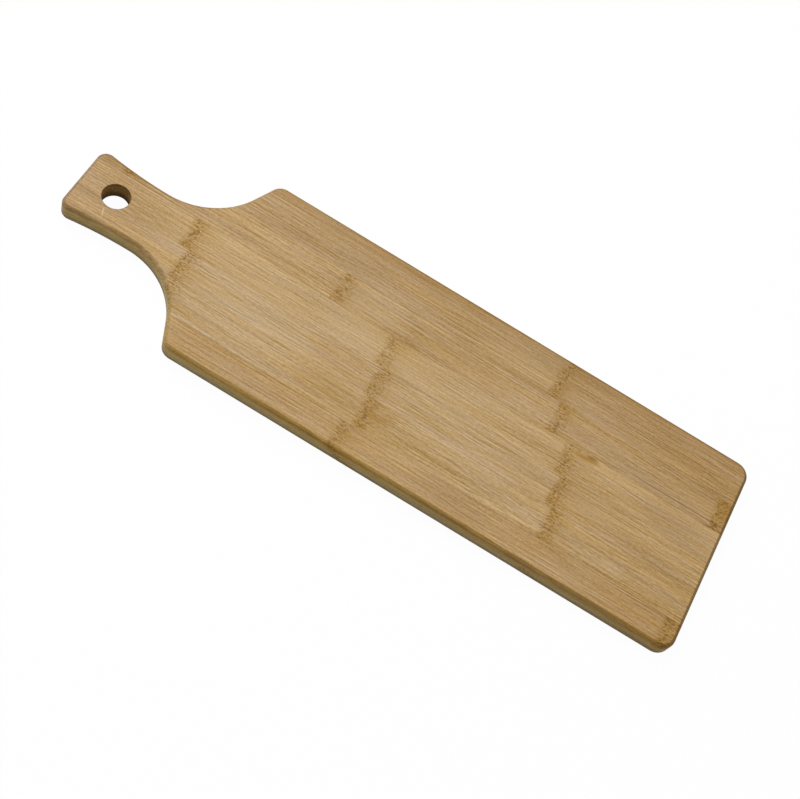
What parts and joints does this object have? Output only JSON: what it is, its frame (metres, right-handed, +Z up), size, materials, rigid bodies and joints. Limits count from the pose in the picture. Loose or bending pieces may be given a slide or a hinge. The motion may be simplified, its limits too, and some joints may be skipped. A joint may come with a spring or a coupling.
{
  "type": "paddle charcuterie board",
  "caption": "Paddle-shaped bamboo serving board with rounded edges, a flared handle and a round hanging hole, laminated from flat strips in plies.",
  "frame": {"origin": "centre of the board's outline box, on the underside that it lies on", "axes": "+X along the board from the handle to the blade's end, +Y across it, +Z up out of the serving face"},
  "size_m": [0.48, 0.15, 0.0141],
  "materials": {
    "bottom_strip_1": "satin oiled bamboo",
    "bottom_strip_2": "satin oiled bamboo",
    "bottom_strip_3": "satin oiled bamboo",
    "bottom_strip_4": "satin oiled bamboo",
    "bottom_strip_5": "satin oiled bamboo",
    "bottom_strip_6": "satin oiled bamboo",
    "bottom_strip_7": "satin oiled bamboo",
    "core_strip_1": "satin oiled bamboo",
    "core_strip_2": "satin oiled bamboo",
    "core_strip_3": "satin oiled bamboo",
    "core_strip_4": "satin oiled bamboo",
    "core_strip_5": "satin oiled bamboo",
    "core_strip_6": "satin oiled bamboo",
    "core_strip_7": "satin oiled bamboo",
    "top_strip_1": "satin oiled bamboo",
    "top_strip_2": "satin oiled bamboo",
    "top_strip_3": "satin oiled bamboo",
    "top_strip_4": "satin oiled bamboo",
    "top_strip_5": "satin oiled bamboo",
    "top_strip_6": "satin oiled bamboo",
    "top_strip_7": "satin oiled bamboo"
  },
  "bodies": {
    "root": {"bottom_strip_1": "bottom_strip_1", "bottom_strip_2": "bottom_strip_2", "bottom_strip_3": "bottom_strip_3", "bottom_strip_4": "bottom_strip_4", "bottom_strip_5": "bottom_strip_5", "bottom_strip_6": "bottom_strip_6", "bottom_strip_7": "bottom_strip_7", "core_strip_1": "core_strip_1", "core_strip_2": "core_strip_2", "core_strip_3": "core_strip_3", "core_strip_4": "core_strip_4", "core_strip_5": "core_strip_5", "core_strip_6": "core_strip_6", "core_strip_7": "core_strip_7", "top_strip_1": "top_strip_1", "top_strip_2": "top_strip_2", "top_strip_3": "top_strip_3", "top_strip_4": "top_strip_4", "top_strip_5": "top_strip_5", "top_strip_6": "top_strip_6", "top_strip_7": "top_strip_7"}
  },
  "joints": []
}
